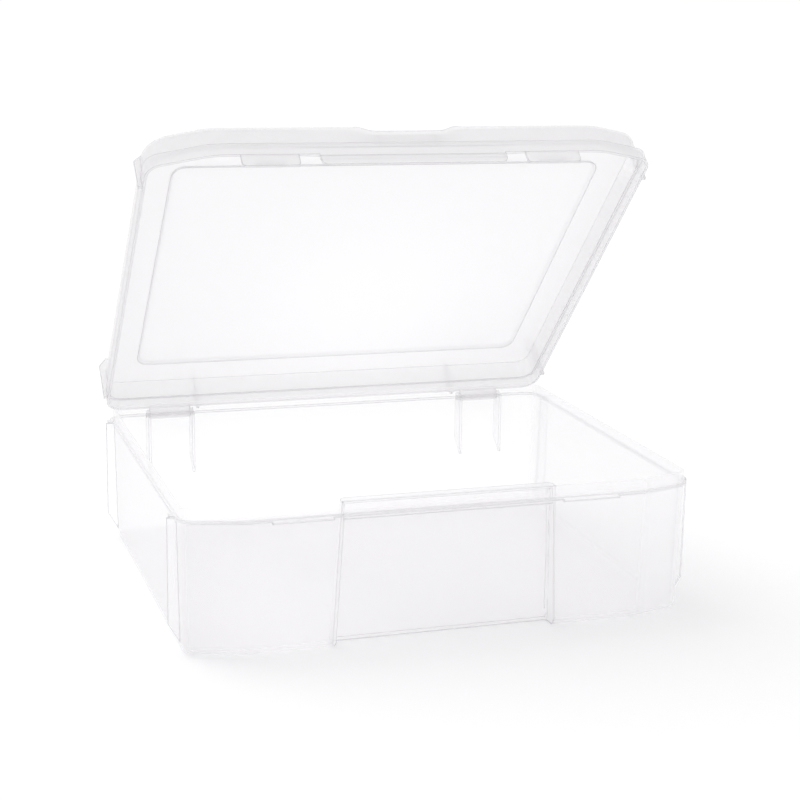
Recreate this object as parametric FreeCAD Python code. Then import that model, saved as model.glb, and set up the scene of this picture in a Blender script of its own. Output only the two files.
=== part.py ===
"""A clear keeper case: a shallow moulded tub with a hinged lid that stands open.

The frame has +X to the right, +Y to the back and +Z up, in millimetres.
The origin is the centre of the tub's underside. Every piece is drawn with the
lid closed, and then the lid and its latch tabs are turned open about the pins.
"""
import FreeCAD, Part
import math
import os

from FreeCAD import Vector

# Plan of the tub, over its ledge
base_width = 387.0
base_depth = 318.0
front_corner_run = 43.7
front_set_back = 12.5
front_corner_radius = 13.5
rear_corner_radius = 14.0
blunt_corner_radius = 60.0

# Tub walls
rim_height = 107.9
wall = 2.0
floor_thickness = 2.2
wall_lean = 2.0
foot_radius = 5.5
rim_radius = 0.6

# Ledge that carries the lid's skirt
collar_height = 8.7
ledge_thickness = 1.8
ledge_reach = 2.0
tongue_reach = 3.0
tongue_width = 5.0

# Grip in the front wall, under a roof and a down-turned lip
grip_side_margin_top = 115.5
grip_side_margin_foot = 110.5
grip_depth_top = 10.0
grip_depth_foot = 17.0
grip_corner_radius = 3.0
grip_roof_thickness = 2.0
grip_lip_drop = 2.7

# Catch ledges that the latch tabs hook under
catch_side_distance = 107.5
catch_length = 44.0
catch_drop = 1.6

# Side fins of the tub
fin_thickness = 2.0
fin_front_place = 29.0
fin_rear_place = 19.0
fin_reach = 4.5
fin_foot_height = 6.0
fin_chamfer_height = 14.0

# Hinge ribs, pins and barrels
pin_radius = 1.8
pin_overhang = 0.8
rib_thickness = 2.0
rib_side_distance = 73.2
rib_spacing = 35.4
rib_head_wall = 2.9
rib_height = 52.0
rib_chamfer = 13.0
hinge_gap = 0.5
hinge_drop = 3.2
barrel_clearance = 0.06
barrel_end_gap = 0.5
barrel_wall = 1.4
arm_height = 3.4

# Lid
closed_gap = 0.3
lid_height = 27.5
skirt_wall = 1.8
skirt_side_overhang = 1.3
skirt_front_overhang = 5.6
skirt_rear_overhang = 0.8
skirt_step = 1.8
lid_edge_radius = 1.2
lid_corner_radius = 24.0
opening_angle = 46.6

# Sunk panel of the lid
panel_side_margin = 27.8
panel_front_margin = 43.7
panel_rear_margin = 31.5
panel_corner_radius = 9.0
panel_sink = 1.2

# Thumb dip in the lid's front top edge
dip_width = 87.0
dip_floor_width = 44.0
dip_depth = 4.7
dip_reach = 10.0
dip_curve_share = 0.5
dip_rib_thickness = 1.4
dip_rib_height = 10.0
dip_rib_reach = 1.6

# Grip lip of the lid, and the thicker wall above it
pad_side_margin = 108.0
pad_slant_length = 15.0
pad_thickness = 1.2
lip_side_margin = 122.5
lip_outset = 0.9
lip_thickness = 1.8
lip_top_drop = 2.0
lip_drop = 10.4
lip_shoulder = 2.2
lip_corner_radius = 5.0

# Latch tabs
tab_length = 42.5
tab_thickness = 1.8
tab_outset = 0.5
tab_root_gap = 0.3
tab_height = 10.3
tab_corner_radius = 3.0
bead_length = 20.0
bead_clearance = 0.4
bead_height = 1.5
bead_lift = 4.0
bead_slope = 1.0

# Ears on the lid's sides and fins on its back
ear_reach = 3.1
ear_gap = 0.3
ear_root = 4.2
front_ear_rise = 2.0
front_ear_chamfer = 5.0
rear_ear_rise = 11.6
rear_ear_chamfer = 7.0
back_fin_thickness = 1.8
back_fin_side_distance = 79.1
back_fin_reach = 9.0
back_fin_rise = 6.3
back_fin_foot_reach = 4.0
back_fin_low_share = 0.24
back_fin_high_share = 0.68
back_fin_tip = 3.0

overrun = 5.0
tiny = 0.001

x_axis = Vector(1, 0, 0)
y_axis = Vector(0, 1, 0)
z_axis = Vector(0, 0, 1)

half_base_width = base_width / 2
half_base_depth = base_depth / 2
half_front_flat = half_base_width - front_corner_run
ledge_top = rim_height - collar_height
ledge_bottom = ledge_top - ledge_thickness
skirt_edge = ledge_top + closed_gap
lid_top = skirt_edge + lid_height
step_top = rim_height + closed_gap + skirt_wall
band_half_width = half_base_width + skirt_side_overhang
band_front = half_base_depth + skirt_front_overhang
band_rear = half_base_depth + skirt_rear_overhang
rib_inner_place = half_base_width - rib_side_distance
back_fin_place = half_base_width - back_fin_side_distance
catch_start = half_base_width - catch_side_distance
grip_width_top = base_width - 2 * grip_side_margin_top
grip_width_foot = base_width - 2 * grip_side_margin_foot
pad_width = base_width - 2 * pad_side_margin
pad_full_width = pad_width - 2 * pad_slant_length
lip_width = base_width - 2 * lip_side_margin
rib_head_radius = pin_radius + rib_head_wall
barrel_radius = pin_radius + barrel_clearance + barrel_wall
hinge_y = band_rear + hinge_gap + rib_head_radius
hinge_z = ledge_top - hinge_drop


def box(x0, x1, y0, y1, z0, z1):
    """Box between two limits on each axis."""
    return Part.makeBox(x1 - x0, y1 - y0, z1 - z0, Vector(x0, y0, z0))


def prism(points, travel):
    """Solid swept straight along a vector from a closed polygon."""
    return Part.Face(Part.makePolygon(points + points[:1])).extrude(travel)


def wall_inset(z):
    """How far the outside of the tub's wall lies inside the ledge's edge at a height."""
    return ledge_reach + wall_lean * (1 - z / rim_height)


def plan_points(half_width, front, rear, inset):
    """Six corners of the plan outline, drawn in by the inset on every side."""
    slope = math.atan2(front_set_back, half_width - half_front_flat)
    blunt_x = half_front_flat - inset * math.tan(slope / 2)
    side_x = half_width - inset
    side_y = front_set_back - front + inset * (1 / math.cos(slope) - math.tan(slope))
    right = [(blunt_x, inset - front), (side_x, side_y), (side_x, rear - inset)]
    left = [(-x, y) for x, y in reversed(right)]
    return right + left


def plan_wire(half_width, front, rear, inset, z, front_radius=front_corner_radius):
    """Closed plan outline at a height, with an arc at each of its six corners."""
    points = [Vector(x, y, z) for x, y in plan_points(half_width, front, rear, inset)]
    radii = [blunt_corner_radius, front_radius, rear_corner_radius]
    radii = [radius - inset for radius in radii + radii[::-1]]
    arcs = []
    for index, point in enumerate(points):
        before = (point - points[index - 1]).normalize()
        after = (points[(index + 1) % len(points)] - point).normalize()
        turn = before.getAngle(after)
        reach = radii[index] * math.tan(turn / 2)
        start = point - before * reach
        end = point + after * reach
        centre = start + z_axis.cross(before) * radii[index]
        middle = centre + (point - centre).normalize() * radii[index]
        arcs.append((start, middle, end))
    edges = []
    for index, arc in enumerate(arcs):
        edges.append(Part.Arc(*arc).toShape())
        edges.append(Part.makeLine(arc[-1], arcs[(index + 1) % len(arcs)][0]))
    return Part.Wire(edges)


def straight_solid(half_width, front, rear, inset, z0, z1, front_radius=front_corner_radius):
    """Upright solid on the plan outline between two heights."""
    wire = plan_wire(half_width, front, rear, inset, z0, front_radius)
    return Part.Face(wire).extrude(z_axis * (z1 - z0))


def leaning_solid(inset_low, inset_high, z0, z1):
    """Solid on the tub's plan whose walls lean between two insets."""
    plan = (half_base_width, half_base_depth, half_base_depth)
    low = plan_wire(*plan, inset_low, z0)
    high = plan_wire(*plan, inset_high, z1)
    return Part.makeLoft([low, high], True, True)


def level_edges(solid, z):
    """Edges of a solid that lie flat at a height."""
    return [edge for edge in solid.Edges
            if abs(edge.BoundBox.ZMin - z) < tiny and abs(edge.BoundBox.ZMax - z) < tiny]


def tub_outside():
    """Outer shape of the tub, rounded where its walls meet the floor."""
    solid = leaning_solid(wall_inset(0), wall_inset(rim_height), 0, rim_height)
    return solid.makeFillet(foot_radius, level_edges(solid, 0))


def tub_inside():
    """Space inside the tub, open at the top."""
    top = rim_height + overrun
    low_inset = wall_inset(floor_thickness) + wall
    solid = leaning_solid(low_inset, wall_inset(top) + wall, floor_thickness, top)
    return solid.makeFillet(foot_radius - wall, level_edges(solid, floor_thickness))


def grip_space(grow, z0, z1):
    """Tapering space behind the grip, or the block around it when grown."""
    wires = []
    for z in (z0, z1):
        share = z / rim_height
        half = (grip_width_foot + (grip_width_top - grip_width_foot) * share) / 2 + grow
        depth = grip_depth_foot + (grip_depth_top - grip_depth_foot) * share + grow
        back = depth - half_base_depth
        front = -half_base_depth - overrun
        corners = [Vector(-half, front, z), Vector(half, front, z),
                   Vector(half, back, z), Vector(-half, back, z)]
        wires.append(Part.makePolygon(corners + corners[:1]))
    solid = Part.makeLoft(wires, True, True)
    middle = -half_base_depth
    edges = [edge for edge in solid.Edges
             if edge.BoundBox.ZLength > rim_height / 2 and edge.BoundBox.YMin > middle]
    return solid.makeFillet(grip_corner_radius + grow, edges)


def with_grip(shell, outside):
    """Tub shell with the grip space sunk into its front wall behind the lip."""
    block = grip_space(wall, 0, rim_height).common(outside)
    roof_bottom = rim_height - grip_roof_thickness
    space = grip_space(0, -overrun, roof_bottom)
    lip_back = wall_inset(rim_height) + wall - half_base_depth
    lip_bottom = ledge_bottom - grip_lip_drop
    half = base_width / 2
    lip = box(-half, half, -base_depth, lip_back, lip_bottom, rim_height)
    return shell.fuse(block).cut(space.cut(lip))


def ledge():
    """Ledge around the tub, with a tongue beside each side fin."""
    plan = (half_base_width, half_base_depth, half_base_depth)
    solid = straight_solid(*plan, 0, ledge_bottom, ledge_top)
    for side in (-1, 1):
        for y in fin_places():
            near, far = sorted((side * (half_base_width - ledge_reach / 2),
                                side * (half_base_width + tongue_reach)))
            reach = tongue_width / 2
            solid = solid.fuse(box(near, far, y - reach, y + reach, ledge_bottom, ledge_top))
    core = straight_solid(*plan, ledge_reach + wall / 2, ledge_bottom - overrun, ledge_top + overrun)
    return solid.cut(core)


def catch(side):
    """Thickened stretch under the front of the ledge that a latch tab hooks under."""
    near, far = sorted((side * catch_start, side * (catch_start + catch_length)))
    front = -half_base_depth
    back = front + wall_inset(ledge_bottom) + wall / 2
    return box(near, far, front, back, ledge_bottom - catch_drop, ledge_bottom + ledge_thickness / 2)


def fin_places():
    """Places along Y of the front and rear fins, the same for the tub and the lid."""
    return (fin_front_place - half_base_depth, half_base_depth - fin_rear_place)


def side_fin(side, y):
    """Thin upright fin on the side of the tub, chamfered to the wall at its foot."""
    top = ledge_bottom
    outer = half_base_width + fin_reach
    root_top = half_base_width - wall_inset(top) - wall / 2
    root_foot = half_base_width - wall_inset(fin_foot_height) - wall / 2
    chamfer_top = fin_foot_height + fin_chamfer_height
    outline = [(root_top, top), (outer, top), (outer, chamfer_top),
               (root_foot + wall / 2, fin_foot_height), (root_foot, fin_foot_height)]
    points = [Vector(side * x, y - fin_thickness / 2, z) for x, z in outline]
    return prism(points, y_axis * fin_thickness)


def hinge_rib(side, near):
    """Upright rib behind the tub that holds one end of a hinge pin."""
    x = min(side * near, side * (near + rib_thickness))
    root = half_base_depth - wall_inset(ledge_bottom) - wall / 2
    foot_root = half_base_depth - wall_inset(ledge_bottom - rib_height) - wall / 2
    back = hinge_y + rib_head_radius
    foot = ledge_bottom - rib_height
    top = ledge_top - ledge_thickness / 2
    outline = [(foot_root, foot), (back, foot + rib_chamfer), (back, hinge_z),
               (hinge_y, hinge_z), (hinge_y, top), (root, top)]
    plate = prism([Vector(x, y, z) for y, z in outline], x_axis * rib_thickness)
    head = Part.makeCylinder(rib_head_radius, rib_thickness, Vector(x, hinge_y, hinge_z), x_axis)
    return plate.fuse(head)


def pin_space(side, radius, overhang):
    """Cylinder on the hinge axis through one pair of ribs."""
    near = rib_inner_place - overhang
    length = rib_spacing + 2 * rib_thickness + 2 * overhang
    x = min(side * near, side * (near + length))
    return Part.makeCylinder(radius, length, Vector(x, hinge_y, hinge_z), x_axis)


def base_tub():
    """The whole tub moulding."""
    outside = tub_outside()
    shell = outside.cut(tub_inside())
    rim = level_edges(shell, rim_height)
    shell = shell.makeFillet(rim_radius, rim)
    shell = with_grip(shell, outside)
    extras = [ledge()]
    for side in (-1, 1):
        extras.append(catch(side))
        for y in fin_places():
            extras.append(side_fin(side, y))
        for near in (rib_inner_place, rib_inner_place + rib_thickness + rib_spacing):
            extras.append(hinge_rib(side, near))
    tub = shell.multiFuse(extras)
    for side in (-1, 1):
        tub = tub.cut(pin_space(side, pin_radius, overrun))
    return tub.removeSplitter()


def lid_shell():
    """Lid dish: a flat top with a skirt that steps outward near its free edge."""
    plan = (band_half_width, band_front, band_rear)
    corner = lid_corner_radius + skirt_step
    body = straight_solid(*plan, skirt_step, skirt_edge, lid_top, corner)
    body = body.makeFillet(lid_edge_radius, level_edges(body, lid_top))
    body = body.fuse(straight_solid(*plan, 0, skirt_edge, step_top))
    low = skirt_edge - overrun
    body = body.cut(straight_solid(*plan, skirt_wall, low, step_top - skirt_wall))
    return body.cut(straight_solid(*plan, skirt_step + skirt_wall, low, lid_top - skirt_wall, corner))


def panel_block(grow, z0, z1):
    """Rounded rectangle of the lid's panel between two heights."""
    half = band_half_width - panel_side_margin + grow
    front = panel_front_margin - band_front - grow
    rear = band_rear - panel_rear_margin + grow
    solid = box(-half, half, front, rear, z0, z1)
    edges = [edge for edge in solid.Edges if edge.BoundBox.ZLength > (z1 - z0) / 2
             and edge.BoundBox.XLength < tiny and edge.BoundBox.YLength < tiny]
    return solid.makeFillet(panel_corner_radius + grow, edges)


def sunk_panel(lid):
    """Lid with its middle panel sunk and its wall kept even there."""
    underside = lid_top - skirt_wall
    lid = lid.fuse(panel_block(skirt_wall, underside - panel_sink, underside + skirt_wall / 2))
    return lid.cut(panel_block(0, lid_top - panel_sink, lid_top + overrun))


def dip_profile(grow, y0, y1, top):
    """Solid under an S-shaped curve at each end and a flat floor between."""
    half = dip_width / 2 + grow
    floor_half = dip_floor_width / 2 + grow
    floor = lid_top - dip_depth - grow
    upper = lid_top - grow
    bend = floor_half + (half - floor_half) * dip_curve_share
    right = Part.BezierCurve()
    right.setPoles([Vector(half, y0, upper), Vector(bend, y0, upper),
                    Vector(bend, y0, floor), Vector(floor_half, y0, floor)])
    left = Part.BezierCurve()
    left.setPoles([Vector(-floor_half, y0, floor), Vector(-bend, y0, floor),
                   Vector(-bend, y0, upper), Vector(-half, y0, upper)])
    lines = [Part.makeLine(Vector(floor_half, y0, floor), Vector(-floor_half, y0, floor)),
             Part.makeLine(Vector(-half, y0, upper), Vector(-half, y0, top)),
             Part.makeLine(Vector(-half, y0, top), Vector(half, y0, top)),
             Part.makeLine(Vector(half, y0, top), Vector(half, y0, upper))]
    wire = Part.Wire([right.toShape(), lines[0], left.toShape(), lines[1], lines[2], lines[3]])
    return Part.Face(wire).extrude(y_axis * (y1 - y0))


def thumb_dip(lid):
    """Lid with the dip pushed into its front top edge, and a small rib at each end of it."""
    front = skirt_step - band_front
    back = front + dip_reach
    block = dip_profile(skirt_wall, front + skirt_wall / 2, back + skirt_wall, lid_top - skirt_wall / 2)
    lid = lid.fuse(block).cut(dip_profile(0, front - overrun, back, lid_top + overrun))
    rib_top = lid_top - dip_depth - skirt_wall / 2
    inner = front + skirt_wall
    for side in (-1, 1):
        place = side * dip_floor_width / 2
        rib = box(place - dip_rib_thickness / 2, place + dip_rib_thickness / 2,
                  inner - skirt_wall / 2, inner + dip_rib_reach, rib_top - dip_rib_height, rib_top)
        lid = lid.fuse(rib)
    return lid


def pad_block(face, z0, z1):
    """Block with slanting ends against the inner face of the front skirt."""
    half = pad_width / 2
    full_half = pad_full_width / 2
    root = face - skirt_wall / 2
    deep = face + pad_thickness
    outline = [(-half, root), (-half, face), (-full_half, deep),
               (full_half, deep), (half, face), (half, root)]
    return prism([Vector(x, y, z0) for x, y in outline], z_axis * (z1 - z0))


def front_pad(lid):
    """Lid with a thicker wall across the middle of its front skirt."""
    middle = step_top - skirt_wall / 2
    band = pad_block(skirt_wall - band_front, skirt_edge, middle)
    upper = pad_block(skirt_step + skirt_wall - band_front, middle, lid_top - skirt_wall / 2)
    return lid.fuse(band).fuse(upper)


def grip_lip():
    """Lip that hangs from the middle of the front skirt, below a small shoulder."""
    half = lip_width / 2
    front = -band_front - lip_outset
    top = skirt_edge - lip_top_drop
    bottom = skirt_edge - lip_drop
    plate = box(-half, half, front, front + lip_thickness, bottom, top)
    ends = [edge for edge in plate.Edges if edge.BoundBox.YLength > lip_thickness / 2
            and edge.BoundBox.ZMax < bottom + tiny]
    plate = plate.makeFillet(lip_corner_radius, ends)
    back = skirt_wall - band_front
    shoulder = box(-half, half, front, back, top - lip_shoulder, top)
    neck = box(-half, half, -band_front, back, top - lip_shoulder, skirt_edge + tiny)
    return plate.fuse(shoulder).fuse(neck)


def lid_ear(side, y, rise, chamfer):
    """Upright ear on the lid's side in line with a fin of the tub."""
    outer = band_half_width + ear_reach
    low = skirt_edge + ear_gap
    root = band_half_width - skirt_step - skirt_wall / 2
    band_root = band_half_width - skirt_wall / 2
    high = lid_top + rise
    outline = [(band_root, low), (outer, low), (outer, high - chamfer),
               (root, high), (root - ear_root, high), (root - ear_root, lid_top - skirt_wall / 2),
               (root, lid_top - skirt_wall / 2), (root, step_top - skirt_wall / 2),
               (band_root, step_top - skirt_wall / 2)]
    points = [Vector(side * x, y - fin_thickness / 2, z) for x, z in outline]
    return prism(points, y_axis * fin_thickness)


def back_fin(side):
    """Pointed upright fin behind the lid, beside the hinge."""
    x = min(side * back_fin_place, side * (back_fin_place + back_fin_thickness))
    root = band_rear - skirt_step - skirt_wall / 2
    back = band_rear + back_fin_reach
    low = skirt_edge + lid_height * back_fin_low_share
    high = skirt_edge + lid_height * back_fin_high_share
    tip = lid_top + back_fin_rise
    outline = [(band_rear - skirt_wall / 2, skirt_edge), (band_rear + back_fin_foot_reach, skirt_edge),
               (back, low), (back, high), (root + back_fin_tip, tip), (root, tip),
               (root, step_top - skirt_wall / 2), (band_rear - skirt_wall / 2, step_top - skirt_wall / 2)]
    return prism([Vector(x, y, z) for y, z in outline], x_axis * back_fin_thickness)


def hinge_barrel(side):
    """Barrel on the lid that turns on a hinge pin, with the arm that carries it."""
    near = rib_inner_place + rib_thickness + barrel_end_gap
    length = rib_spacing - 2 * barrel_end_gap
    x = min(side * near, side * (near + length))
    barrel = Part.makeCylinder(barrel_radius, length, Vector(x, hinge_y, hinge_z), x_axis)
    root = band_rear - skirt_wall / 2
    outline = [(root, skirt_edge), (band_rear, skirt_edge), (hinge_y - barrel_radius, hinge_z),
               (hinge_y, hinge_z), (hinge_y, hinge_z + barrel_radius), (root, skirt_edge + arm_height)]
    arm = prism([Vector(x, y, z) for y, z in outline], x_axis * length)
    return barrel.fuse(arm)


def lid():
    """The whole lid moulding, closed."""
    shape = sunk_panel(lid_shell())
    shape = front_pad(shape)
    shape = thumb_dip(shape)
    front_place, rear_place = fin_places()
    extras = [grip_lip()]
    for side in (-1, 1):
        extras.append(lid_ear(side, front_place, front_ear_rise, front_ear_chamfer))
        extras.append(lid_ear(side, rear_place, rear_ear_rise, rear_ear_chamfer))
        extras.append(back_fin(side))
        extras.append(hinge_barrel(side))
    shape = shape.multiFuse(extras)
    for side in (-1, 1):
        shape = shape.cut(pin_space(side, pin_radius + barrel_clearance, 0))
    return shape.removeSplitter()


def tab_axis():
    """Place in Y and Z of the line about which a latch tab flexes."""
    radius = tab_thickness / 2
    y = skirt_wall / 2 - band_front - tab_outset
    return y, skirt_edge - tab_root_gap - radius


def latch_tab(side):
    """Latch tab: a plate with a round root, and a bead that hooks under the catch."""
    y, z = tab_axis()
    radius = tab_thickness / 2
    middle = catch_start + catch_length / 2
    start = side * middle - tab_length / 2
    bottom = skirt_edge - tab_root_gap - tab_height
    plate = box(start, start + tab_length, y - radius, y + radius, bottom, z)
    ends = [edge for edge in plate.Edges if edge.BoundBox.YLength > radius
            and edge.BoundBox.ZMax < bottom + tiny]
    plate = plate.makeFillet(tab_corner_radius, ends)
    root = Part.makeCylinder(radius, tab_length, Vector(start, y, z), x_axis)
    tip = -half_base_depth - bead_clearance
    low = bottom + bead_lift
    top = low + bead_height
    outline = [(y, low - bead_slope), (y + radius, low - bead_slope), (tip, low), (tip, top), (y, top)]
    bead_start = side * middle - bead_length / 2
    bead = prism([Vector(bead_start, py, pz) for py, pz in outline], x_axis * bead_length)
    return plate.fuse(root).fuse(bead).removeSplitter()


def opened(shape):
    """Piece of the lid turned open about the hinge axis."""
    turned = shape.copy()
    turned.rotate(Vector(0, hinge_y, hinge_z), x_axis, -opening_angle)
    return turned


def write(name, shape):
    """Write one piece under its name."""
    shape.exportStep(os.path.join("parts", name + ".step"))
    print(name, len(shape.Solids), "solid,", round(shape.Volume), "mm3, valid", shape.isValid())


def main():
    os.makedirs("parts", exist_ok=True)
    write("base_tub", base_tub())
    write("lid", opened(lid()))
    write("latch_tab_left", opened(latch_tab(-1)))
    write("latch_tab_right", opened(latch_tab(1)))
    write("hinge_pin_left", pin_space(-1, pin_radius, pin_overhang))
    write("hinge_pin_right", pin_space(1, pin_radius, pin_overhang))


main()
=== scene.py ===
"""Looks, studio and camera for a see-through photo keeper case that stands open."""

import math

import bpy
import numpy as np
from mathutils import Matrix, Vector


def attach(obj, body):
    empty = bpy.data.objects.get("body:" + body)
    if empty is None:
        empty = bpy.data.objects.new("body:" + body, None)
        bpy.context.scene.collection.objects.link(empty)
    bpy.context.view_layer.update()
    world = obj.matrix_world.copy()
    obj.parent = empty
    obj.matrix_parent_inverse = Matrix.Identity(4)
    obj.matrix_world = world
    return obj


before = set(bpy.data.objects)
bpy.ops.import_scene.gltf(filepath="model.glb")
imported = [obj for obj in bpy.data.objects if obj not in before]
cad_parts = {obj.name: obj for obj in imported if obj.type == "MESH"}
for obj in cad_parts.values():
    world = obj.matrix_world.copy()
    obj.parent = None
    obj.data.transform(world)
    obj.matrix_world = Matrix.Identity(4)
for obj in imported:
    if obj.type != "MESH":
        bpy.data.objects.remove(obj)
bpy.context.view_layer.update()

bl_info = {
    "name": "Photo Keeper Case",
    "version": (1, 0, 0),
    "blender": (4, 5, 0),
    "location": "View3D > Sidebar > Photo Case",
    "description": "Finishes a moulded photo keeper case and stands it in a white studio",
    "category": "Add Mesh",
}

MM = 0.001

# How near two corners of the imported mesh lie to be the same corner.
SAME_POINT = 0.002 * MM
# Edges that turn more sharply than this get a bead, and so do the edges of narrow fillets.
CORNER_ANGLE = math.radians(38)
FILLET_ANGLE = math.radians(12)
FILLET_RADIUS = 2.5 * MM
# Sides of a bead's profile, and how many of its radii its middle lies inside the edge.
BEAD_SIDES = 6
SUNK = 0.7
# Length below which a direction counts as none.
NO_LENGTH = 1e-9
# Width of the camera's sensor in millimetres.
SENSOR_WIDTH = 36
# Fine detail of the mould ripple, and how strong each finer layer of it is.
RIPPLE_DETAIL = 1.5
RIPPLE_ROUGHNESS = 0.4
# Blend of the grazing weight: at 0.5 it is one less the cosine of the look's angle.
SLANT_BLEND = 0.5
# Most clear faces that one look can pass.
CLEAR_FACES = 64
# How far the floor lies below the underside, so that the two faces aren't in one plane.
FLOOR_GAP = 0.1 * MM
# The standard sRGB curve.
SRGB_KNEE = 0.04045
SRGB_SLOPE = 12.92
SRGB_SHIFT = 0.055
SRGB_POWER = 2.4
# Colours as sRGB values.
TUB_COLOUR = "#FDFCFD"
LID_COLOUR = "#F5F4F5"
PIN_COLOUR = "#FAFAFA"
# Grey of the edge beads: painted shade for the dark lines that refraction draws along each edge.
EDGE_SHADE_COLOUR = "#D9D9DC"
FLOOR_COLOUR = "#F9F9FA"
WHITE = "#FFFFFF"
# Way that the key light travels.
KEY_DIRECTION = (0.4, -0.7, -1.0)
# Way that the lamp behind the lid shines, square to the open lid, and the point it shines at.
LID_LAMP_DIRECTION = (0.0, -0.727, -0.687)
LID_LAMP_AIM = (20 * MM, 104 * MM, 188 * MM)


def linear(colour):
    """Linear red, green, blue and alpha of an sRGB colour written as #RRGGBB.

    Levels up to SRGB_KNEE follow the straight start of the standard curve, the others its power.
    """
    levels = [int(colour[i : i + 2], 16) / 255 for i in (1, 3, 5)]
    low = [level / SRGB_SLOPE for level in levels]
    high = [((level + SRGB_SHIFT) / (1 + SRGB_SHIFT)) ** SRGB_POWER for level in levels]
    red_green_blue = [a if level <= SRGB_KNEE else b for level, a, b in zip(levels, low, high)]
    return red_green_blue + [1.0]


class CaseFinish(bpy.types.PropertyGroup):
    """Colours and surface of the moulded plastic."""

    tub_colour: bpy.props.FloatVectorProperty(
        name="Tub colour",
        description="What is left of white light after it has passed one wall of the tub",
        subtype="COLOR",
        size=4,
        min=0,
        max=1,
        default=linear(TUB_COLOUR),
    )
    lid_colour: bpy.props.FloatVectorProperty(
        name="Lid colour",
        description="What is left of white light after it has passed the lid",
        subtype="COLOR",
        size=4,
        min=0,
        max=1,
        default=linear(LID_COLOUR),
    )
    pin_colour: bpy.props.FloatVectorProperty(
        name="Hinge pin colour",
        description="What is left of white light after it has passed a face of a hinge rod",
        subtype="COLOR",
        size=4,
        min=0,
        max=1,
        default=linear(PIN_COLOUR),
    )
    # Grey of the edge beads: painted shade for the dark lines that refraction draws along each
    # edge.
    painted_edge_shade: bpy.props.FloatVectorProperty(
        name="Painted edge shade",
        description="Colour of the fine rounding along each moulded edge",
        subtype="COLOR",
        size=4,
        min=0,
        max=1,
        default=linear(EDGE_SHADE_COLOUR),
    )
    edge_clarity: bpy.props.FloatProperty(
        name="Edge clarity",
        description="Share of the light that passes straight through that rounding",
        subtype="FACTOR",
        min=0,
        max=1,
        default=0.66,
    )
    tub_clarity: bpy.props.FloatProperty(
        name="Tub clarity",
        description="Share of the light that passes a face of the tub without being scattered",
        subtype="FACTOR",
        min=0,
        max=1,
        default=0.82,
    )
    pin_clarity: bpy.props.FloatProperty(
        name="Pin clarity",
        description="Share of the light that passes a face of a hinge rod without being scattered",
        subtype="FACTOR",
        min=0,
        max=1,
        default=0.92,
    )
    lid_clarity: bpy.props.FloatProperty(
        name="Lid clarity",
        description="Share of the light that passes a face of the lid without being scattered",
        subtype="FACTOR",
        min=0,
        max=1,
        default=0.6,
    )
    haze: bpy.props.FloatProperty(
        name="Haze",
        description="Roughness of the moulded surface, which blurs what it mirrors",
        subtype="FACTOR",
        min=0,
        max=1,
        default=0.12,
    )
    refraction: bpy.props.FloatProperty(
        name="Refractive index",
        description="Strength of the gloss: polypropylene has an index of 1.49",
        subtype="UNSIGNED",
        min=1,
        max=2,
        default=1.49,
    )
    tub_glow: bpy.props.FloatProperty(
        name="Tub glow",
        description="Share of the tub's scattered light that goes on through the wall, not back",
        subtype="FACTOR",
        min=0,
        max=1,
        default=0.43,
    )
    lid_glow: bpy.props.FloatProperty(
        name="Lid glow",
        description="Share of the lid's scattered light that goes on through it, not back",
        subtype="FACTOR",
        min=0,
        max=1,
        default=0.3,
    )
    slant_clarity: bpy.props.FloatProperty(
        name="Slant clarity",
        description="Share of the clarity that is left where a wall is seen at a grazing angle",
        subtype="FACTOR",
        min=0,
        max=1,
        default=0.6,
    )
    grain: bpy.props.FloatProperty(
        name="Mould grain",
        description="Width of the faint ripple that the mould leaves in the surface",
        subtype="DISTANCE",
        unit="LENGTH",
        min=0.0001,
        default=9 * MM,
    )
    grain_depth: bpy.props.FloatProperty(
        name="Grain depth",
        description="Height of that ripple",
        subtype="DISTANCE",
        unit="LENGTH",
        min=0,
        default=0.02 * MM,
    )
    edge_radius: bpy.props.FloatProperty(
        name="Edge radius",
        description="Radius of the fine rounding on each moulded edge",
        subtype="DISTANCE",
        unit="LENGTH",
        min=0,
        default=0.22 * MM,
    )


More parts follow.
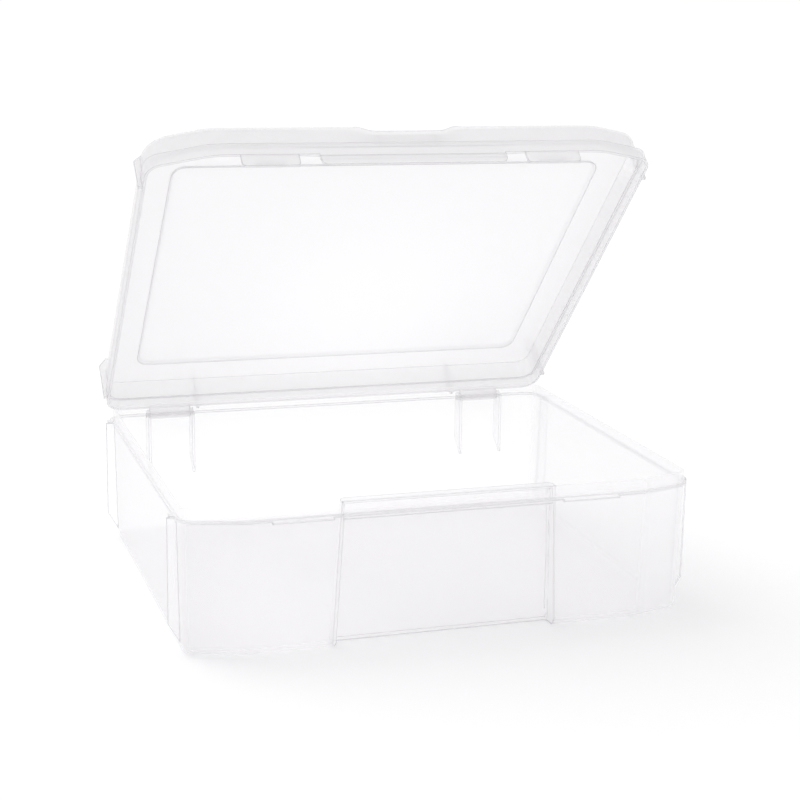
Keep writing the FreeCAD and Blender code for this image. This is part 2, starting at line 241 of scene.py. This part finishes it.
class CaseStudio(bpy.types.PropertyGroup):
    """Floor, light and camera."""

    floor_width: bpy.props.FloatProperty(
        name="Floor width",
        description="Side of the square white floor",
        subtype="DISTANCE",
        unit="LENGTH",
        min=1,
        default=90.0,
    )
    floor_colour: bpy.props.FloatVectorProperty(
        name="Floor colour",
        description="Colour of the white studio floor",
        subtype="COLOR",
        size=4,
        min=0,
        max=1,
        default=linear(FLOOR_COLOUR),
    )
    room_light: bpy.props.FloatProperty(
        name="Room light",
        description="Brightness of the white room, as it falls on surfaces",
        subtype="FACTOR",
        min=0,
        max=2,
        default=0.86,
    )
    key_light: bpy.props.FloatProperty(
        name="Key light",
        description="Strength of the soft light from above and behind on the left",
        subtype="UNSIGNED",
        min=0,
        default=0.85,
    )
    key_softness: bpy.props.FloatProperty(
        name="Key softness",
        description="Angle that the light source spans, seen from the case",
        subtype="ANGLE",
        unit="ROTATION",
        min=0,
        default=math.radians(45),
    )
    lid_lamp: bpy.props.FloatProperty(
        name="Lid lamp",
        description="Power of the lamp behind the lid, which brightens its middle",
        subtype="POWER",
        unit="POWER",
        min=0,
        default=0.14,
    )
    lid_lamp_distance: bpy.props.FloatProperty(
        name="Lid lamp distance",
        description="How far that lamp stands behind the lid",
        subtype="DISTANCE",
        unit="LENGTH",
        min=0.05,
        default=185 * MM,
    )
    lid_lamp_size: bpy.props.FloatProperty(
        name="Lid lamp size",
        description="Side of that square lamp",
        subtype="DISTANCE",
        unit="LENGTH",
        min=0.01,
        default=100 * MM,
    )
    floor_lift: bpy.props.FloatProperty(
        name="Floor lift",
        description="Light added to the floor where it is seen, so that it looks pure white",
        subtype="UNSIGNED",
        min=0,
        default=0.02,
    )
    camera_place: bpy.props.FloatVectorProperty(
        name="Camera place",
        description="Where the camera stands",
        subtype="TRANSLATION",
        unit="LENGTH",
        size=3,
        default=(-0.4061, -1.2696, 0.4596),
    )
    camera_target: bpy.props.FloatVectorProperty(
        name="Camera target",
        description="Point that the camera looks at",
        subtype="TRANSLATION",
        unit="LENGTH",
        size=3,
        default=(0.01208, 0, 0.13846),
    )
    camera_roll: bpy.props.FloatProperty(
        name="Camera roll",
        description="Turn of the camera about its line of sight",
        subtype="ANGLE",
        unit="ROTATION",
        default=math.radians(1.12),
    )
    lens: bpy.props.FloatProperty(
        name="Focal length",
        description="Focal length of the camera, on a sensor 36 mm wide",
        subtype="DISTANCE_CAMERA",
        unit="CAMERA",
        min=10,
        max=300,
        default=78.62,
    )


def add_node(tree, kind, settings=None, values=None, links=None):
    """Adds a node with its settings, socket values and links from other nodes' outputs."""
    node = tree.nodes.new(kind)
    for key, value in (settings or {}).items():
        setattr(node, key, value)
    for key, value in (values or {}).items():
        node.inputs[key].default_value = value
    for key, socket in (links or {}).items():
        tree.links.new(socket, node.inputs[key])
    return node


def empty_material(name):
    """A material with an empty node tree, and its output node."""
    material = bpy.data.materials.new(name)
    material.use_nodes = True
    material.node_tree.nodes.clear()
    output = add_node(material.node_tree, "ShaderNodeOutputMaterial")
    return material, material.node_tree, output


def natural_polypropylene(name, colour, clarity, glow_share, finish):
    """Undyed polypropylene from a polished mould.

    It is milky more than clear: a thin wall lets most light through and glows where light falls
    on its far side. Several walls in a row, or one that is seen edge on, turn pale grey.
    """
    material, tree, output = empty_material(name)
    place = add_node(tree, "ShaderNodeTexCoord")
    # The flow of the melt leaves ripples about a centimetre wide and hundredths of a millimetre
    # high, which break up the gloss a little.
    ripple = add_node(
        tree,
        "ShaderNodeTexNoise",
        values={
            "Scale": 1 / finish.grain,
            "Detail": RIPPLE_DETAIL,
            "Roughness": RIPPLE_ROUGHNESS,
        },
        links={"Vector": place.outputs["Object"]},
    )
    bump = add_node(
        tree,
        "ShaderNodeBump",
        values={"Strength": 1.0, "Distance": finish.grain_depth},
        links={"Height": ripple.outputs["Fac"]},
    )
    plastic = add_node(
        tree,
        "ShaderNodeBsdfPrincipled",
        values={
            "Base Color": tuple(colour),
            "Roughness": finish.haze,
            "IOR": finish.refraction,
        },
        links={"Normal": bump.outputs["Normal"]},
    )
    glow = add_node(
        tree,
        "ShaderNodeBsdfTranslucent",
        values={"Color": tuple(colour)},
        links={"Normal": bump.outputs["Normal"]},
    )
    milk = add_node(tree, "ShaderNodeMixShader", values={"Fac": glow_share})
    tree.links.new(plastic.outputs["BSDF"], milk.inputs[1])
    tree.links.new(glow.outputs["BSDF"], milk.inputs[2])
    clear = add_node(tree, "ShaderNodeBsdfTransparent", values={"Color": linear(WHITE)})
    # A slanting look passes more plastic, so the milk thickens towards grazing angles.
    slant = add_node(tree, "ShaderNodeLayerWeight", values={"Blend": SLANT_BLEND})
    depth = add_node(
        tree,
        "ShaderNodeMapRange",
        values={"To Min": clarity, "To Max": clarity * finish.slant_clarity},
        links={"Value": slant.outputs["Facing"]},
    )
    surface = add_node(tree, "ShaderNodeMixShader", links={"Fac": depth.outputs["Result"]})
    tree.links.new(milk.outputs["Shader"], surface.inputs[1])
    tree.links.new(clear.outputs["BSDF"], surface.inputs[2])
    tree.links.new(surface.outputs["Shader"], output.inputs["Surface"])
    return material


def edge_with_painted_shade(name, finish):
    """The same polypropylene on the fine rounding along a moulded edge, in a grey that is painted
    shade.

    The grey stands in for the dark lines that refraction draws along each edge of the clear wall,
    so the edge looks greyer than the wall does.
    """
    material, tree, output = empty_material(name)
    # Its base colour is painted shade: the grey of the refraction lines along the edge.
    edge = add_node(
        tree,
        "ShaderNodeBsdfPrincipled",
        values={
            "Base Color": tuple(finish.painted_edge_shade),
            "Roughness": finish.haze,
            "IOR": finish.refraction,
        },
    )
    clear = add_node(tree, "ShaderNodeBsdfTransparent")
    surface = add_node(tree, "ShaderNodeMixShader", values={"Fac": finish.edge_clarity})
    tree.links.new(edge.outputs["BSDF"], surface.inputs[1])
    tree.links.new(clear.outputs["BSDF"], surface.inputs[2])
    tree.links.new(surface.outputs["Shader"], output.inputs["Surface"])
    return material


def sharp_edges(node):
    """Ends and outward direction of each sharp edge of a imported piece, as arrays.

    Corners at the same place are one point, found by rounding them to a fine grid. An edge that
    two triangles share is sharp if their normals turn by more than CORNER_ANGLE, or by more than
    FILLET_ANGLE within a fillet whose radius is under FILLET_RADIUS. That radius is the height of
    the narrower triangle over the turn. The outward direction is the mean of the two normals.
    """
    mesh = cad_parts[node].data
    mesh.calc_loop_triangles()
    corners = np.empty(len(mesh.loop_triangles) * 3, np.int32)
    mesh.loop_triangles.foreach_get("vertices", corners)
    places = np.empty(len(mesh.vertices) * 3, np.float32)
    mesh.vertices.foreach_get("co", places)
    places = places.reshape(-1, 3).astype(float)
    _, first, same = np.unique(
        np.round(places / SAME_POINT).astype(np.int64),
        axis=0,
        return_index=True,
        return_inverse=True,
    )
    points = places[first]
    faces = same.reshape(-1)[corners].reshape(-1, 3)
    a, b, c = (points[faces[:, i]] for i in range(3))
    normals = np.cross(b - a, c - a)
    area = np.linalg.norm(normals, axis=1)
    solid = area > 0
    faces, normals, area = faces[solid], normals[solid] / area[solid, None], area[solid]
    pairs = np.sort(faces[:, [[0, 1], [1, 2], [2, 0]]].reshape(-1, 2), axis=1)
    owner = np.repeat(np.arange(len(faces)), 3)
    edges, which, count = np.unique(pairs, axis=0, return_inverse=True, return_counts=True)
    order = np.argsort(which.reshape(-1), kind="stable")
    start = np.cumsum(count) - count
    shared = count == 2
    beside = [owner[order[start[shared] + i]] for i in (0, 1)]
    one, two = (normals[face] for face in beside)
    turn = np.arccos(np.clip(np.sum(one * two, axis=1), -1, 1))
    length = np.linalg.norm(np.diff(points[edges[shared]], axis=1)[:, 0], axis=1)
    height = np.minimum(*(area[face] for face in beside)) / length
    fillet = (turn > FILLET_ANGLE) & (height < FILLET_RADIUS * turn)
    sharp = (turn > CORNER_ANGLE) | fillet
    out = (one + two)[sharp]
    out /= np.maximum(np.linalg.norm(out, axis=1, keepdims=True), NO_LENGTH)
    ends = points[edges[shared][sharp]]
    return ends, out


def edge_beads(name, nodes, radius, material):
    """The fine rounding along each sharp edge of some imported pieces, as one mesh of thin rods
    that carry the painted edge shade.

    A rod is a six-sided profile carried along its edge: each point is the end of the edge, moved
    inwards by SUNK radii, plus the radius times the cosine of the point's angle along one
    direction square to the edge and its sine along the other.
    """
    found = [sharp_edges(node) for node in nodes]
    ends = np.concatenate([ends for ends, _ in found])
    out = np.concatenate([out for _, out in found])
    along = ends[:, 1] - ends[:, 0]
    along /= np.linalg.norm(along, axis=1, keepdims=True)
    side = np.cross(along, out)
    side /= np.linalg.norm(side, axis=1, keepdims=True)
    rise = np.cross(along, side)
    angle = 2 * math.pi * np.arange(BEAD_SIDES) / BEAD_SIDES
    ring = radius * (
        np.cos(angle)[None, :, None] * side[:, None] + np.sin(angle)[None, :, None] * rise[:, None]
    )
    middle = ends - SUNK * radius * out[:, None]
    points = middle[:, :, None] + ring[:, None]
    base = 2 * BEAD_SIDES * np.arange(len(ends))[:, None]
    here = np.arange(BEAD_SIDES)
    after = (here + 1) % BEAD_SIDES
    sides = np.stack([here, after, after + BEAD_SIDES, here + BEAD_SIDES], axis=1)
    walls = (base[:, None] + sides[None]).reshape(-1, 4).tolist()
    caps = (base + here[::-1][None]).tolist() + (base + BEAD_SIDES + here[None]).tolist()
    mesh = bpy.data.meshes.new(name)
    mesh.from_pydata(points.reshape(-1, 3).tolist(), [], walls + caps)
    mesh.materials.append(material)
    piece = bpy.data.objects.new(name, mesh)
    bpy.context.scene.collection.objects.link(piece)
    return piece


def dress(name, nodes, body, wall, edge, radius):
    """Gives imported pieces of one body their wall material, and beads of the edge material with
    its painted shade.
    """
    for node in nodes:
        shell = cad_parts[node]
        shell.data.materials.clear()
        shell.data.materials.append(wall)
    beads = edge_beads(name, nodes, radius, edge)
    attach(beads, body)


class CASE_OT_tub(bpy.types.Operator):
    """Finish the base tub in clear natural polypropylene"""

    bl_idname = "photo_case.tub"
    bl_label = "Base Tub"

    def execute(self, context):
        finish = context.scene.case_finish
        material = natural_polypropylene(
            "Moulded natural polypropylene, tub",
            finish.tub_colour,
            finish.tub_clarity,
            finish.tub_glow,
            finish,
        )
        edge = edge_with_painted_shade("Moulded polypropylene edge, painted shade, tub", finish)
        radius = finish.edge_radius
        dress("base_tub_edges", ["base_tub"], "base", material, edge, radius)
        return {"FINISHED"}


class CASE_OT_lid(bpy.types.Operator):
    """Finish the lid and its two latch tabs, which are one moulding"""

    bl_idname = "photo_case.lid"
    bl_label = "Lid and Latch Tabs"

    def execute(self, context):
        finish = context.scene.case_finish
        material = natural_polypropylene(
            "Moulded natural polypropylene, lid",
            finish.lid_colour,
            finish.lid_clarity,
            finish.lid_glow,
            finish,
        )
        edge = edge_with_painted_shade("Moulded polypropylene edge, painted shade, lid", finish)
        parts = {
            "lid": "lid_body",
            "latch_tab_left": "latch_left",
            "latch_tab_right": "latch_right",
        }
        for node, body in parts.items():
            name = node + "_edges"
            dress(name, [node], body, material, edge, finish.edge_radius)
        return {"FINISHED"}


class CASE_OT_hinge_pins(bpy.types.Operator):
    """Finish the two hinge rods behind the tub"""

    bl_idname = "photo_case.hinge_pins"
    bl_label = "Hinge Pins"

    def execute(self, context):
        finish = context.scene.case_finish
        material = natural_polypropylene(
            "Moulded natural polypropylene, hinge rods",
            finish.pin_colour,
            finish.pin_clarity,
            finish.tub_glow,
            finish,
        )
        edge = edge_with_painted_shade("Moulded polypropylene edge, painted shade, hinge rods", finish)
        pins = ["hinge_pin_left", "hinge_pin_right"]
        radius = finish.edge_radius
        dress("hinge_pin_edges", pins, "base", material, edge, radius)
        return {"FINISHED"}


def white_floor(studio):
    """The white studio floor: a flat square centred under the case, white outside its shadow."""
    half = studio.floor_width / 2
    mesh = bpy.data.meshes.new("studio_floor")
    outline = ((-half, -half), (half, -half), (half, half), (-half, half))
    corners = [(x, y, -FLOOR_GAP) for x, y in outline]
    mesh.from_pydata(corners, [], [(0, 1, 2, 3)])
    floor = bpy.data.objects.new("studio_floor", mesh)
    bpy.context.scene.collection.objects.link(floor)
    # Matt white paper. What the camera sees of it, also through the plastic, is lifted to white.
    material, tree, output = empty_material("Matt white paper sweep")
    paper = add_node(
        tree,
        "ShaderNodeBsdfDiffuse",
        values={"Color": tuple(studio.floor_colour)},
    )
    lift = add_node(
        tree,
        "ShaderNodeEmission",
        values={"Color": linear(WHITE), "Strength": studio.floor_lift},
    )
    path = add_node(tree, "ShaderNodeLightPath")
    seen = add_node(
        tree,
        "ShaderNodeMath",
        {"operation": "MAXIMUM"},
        links={0: path.outputs["Is Camera Ray"], 1: path.outputs["Is Transmission Ray"]},
    )
    dark = add_node(tree, "ShaderNodeEmission", values={"Strength": 0.0})
    lifted = add_node(tree, "ShaderNodeMixShader", links={"Fac": seen.outputs["Value"]})
    tree.links.new(dark.outputs["Emission"], lifted.inputs[1])
    tree.links.new(lift.outputs["Emission"], lifted.inputs[2])
    both = add_node(tree, "ShaderNodeAddShader")
    tree.links.new(paper.outputs["BSDF"], both.inputs[0])
    tree.links.new(lifted.outputs["Shader"], both.inputs[1])
    tree.links.new(both.outputs["Shader"], output.inputs["Surface"])
    mesh.materials.append(material)


def white_room(studio):
    """A room of even white light: pure white to the eye, in mirrors and through clear walls."""
    world = bpy.data.worlds.new("White room")
    bpy.context.scene.world = world
    world.use_nodes = True
    tree = world.node_tree
    tree.nodes.clear()
    path = add_node(tree, "ShaderNodeLightPath")
    direct = add_node(
        tree,
        "ShaderNodeMath",
        {"operation": "MAXIMUM"},
        links={0: path.outputs["Is Camera Ray"], 1: path.outputs["Is Transmission Ray"]},
    )
    seen = add_node(
        tree,
        "ShaderNodeMath",
        {"operation": "MAXIMUM"},
        links={0: direct.outputs["Value"], 1: path.outputs["Is Glossy Ray"]},
    )
    strength = add_node(
        tree,
        "ShaderNodeMapRange",
        values={"To Min": studio.room_light, "To Max": 1.0},
        links={"Value": seen.outputs["Value"]},
    )
    room = add_node(
        tree,
        "ShaderNodeBackground",
        values={"Color": linear(WHITE)},
        links={"Strength": strength.outputs["Result"]},
    )
    output = add_node(tree, "ShaderNodeOutputWorld")
    tree.links.new(room.outputs["Background"], output.inputs["Surface"])


def key_light(studio):
    """Soft light that falls from above and behind on the left, the same everywhere."""
    lamp = bpy.data.lights.new("key_light", "SUN")
    lamp.energy = studio.key_light
    lamp.angle = studio.key_softness
    holder = bpy.data.objects.new("key_light", lamp)
    holder.matrix_world = Vector(KEY_DIRECTION).to_track_quat("-Z", "Y").to_matrix().to_4x4()
    bpy.context.scene.collection.objects.link(holder)


def lid_lamp(studio):
    """A lamp behind the open lid that makes the middle of the lid brighter than its corners."""
    lamp = bpy.data.lights.new("lid_lamp", "AREA")
    lamp.energy = studio.lid_lamp
    lamp.size = studio.lid_lamp_size
    holder = bpy.data.objects.new("lid_lamp", lamp)
    way = Vector(LID_LAMP_DIRECTION)
    place = Vector(LID_LAMP_AIM) - studio.lid_lamp_distance * way
    turn = way.to_track_quat("-Z", "Y").to_matrix().to_4x4()
    holder.matrix_world = Matrix.Translation(place) @ turn
    holder.visible_camera = False
    bpy.context.scene.collection.objects.link(holder)


def photo_camera(studio):
    """The camera at the photograph's place, angle and framing."""
    camera = bpy.data.cameras.new("photo_camera")
    camera.lens = studio.lens
    camera.sensor_width = SENSOR_WIDTH
    holder = bpy.data.objects.new("photo_camera", camera)
    place = Vector(studio.camera_place)
    sight = Vector(studio.camera_target) - place
    turn = sight.to_track_quat("-Z", "Y").to_matrix().to_4x4()
    roll = Matrix.Rotation(studio.camera_roll, 4, "Z")
    holder.matrix_world = Matrix.Translation(place) @ turn @ roll
    bpy.context.scene.collection.objects.link(holder)
    bpy.context.scene.camera = holder


class CASE_OT_studio(bpy.types.Operator):
    """Set up the white floor, the soft light and the camera"""

    bl_idname = "photo_case.studio"
    bl_label = "Studio"

    def execute(self, context):
        studio = context.scene.case_studio
        context.scene.view_settings.view_transform = "Standard"
        # A look along a wall passes many clear faces.
        context.scene.cycles.transparent_max_bounces = CLEAR_FACES
        white_floor(studio)
        white_room(studio)
        key_light(studio)
        lid_lamp(studio)
        photo_camera(studio)
        return {"FINISHED"}


class CASE_PT_panel(bpy.types.Panel):
    """Lists the case's pieces and their settings"""

    bl_idname = "CASE_PT_panel"
    bl_label = "Photo Keeper Case"
    bl_space_type = "VIEW_3D"
    bl_region_type = "UI"
    bl_category = "Photo Case"

    def draw(self, context):
        for group in (context.scene.case_finish, context.scene.case_studio):
            column = self.layout.column(align=True)
            for key in group.__annotations__:
                column.prop(group, key)
        for step in STEPS:
            self.layout.operator(step.bl_idname)


STEPS = (CASE_OT_tub, CASE_OT_lid, CASE_OT_hinge_pins, CASE_OT_studio)
GROUPS = (CaseFinish, CaseStudio)


def register():
    """Makes the settings, steps and panel known to Blender."""
    for kind in (*GROUPS, *STEPS, CASE_PT_panel):
        bpy.utils.register_class(kind)
    bpy.types.Scene.case_finish = bpy.props.PointerProperty(type=CaseFinish)
    bpy.types.Scene.case_studio = bpy.props.PointerProperty(type=CaseStudio)


def unregister():
    """Takes them away again."""
    del bpy.types.Scene.case_studio
    del bpy.types.Scene.case_finish
    for kind in reversed((*GROUPS, *STEPS, CASE_PT_panel)):
        bpy.utils.unregister_class(kind)


def main():
    """Builds the scene step by step."""
    register()
    bpy.ops.photo_case.tub()
    bpy.ops.photo_case.lid()
    bpy.ops.photo_case.hinge_pins()
    bpy.ops.photo_case.studio()


if __name__ == "__main__":
    main()
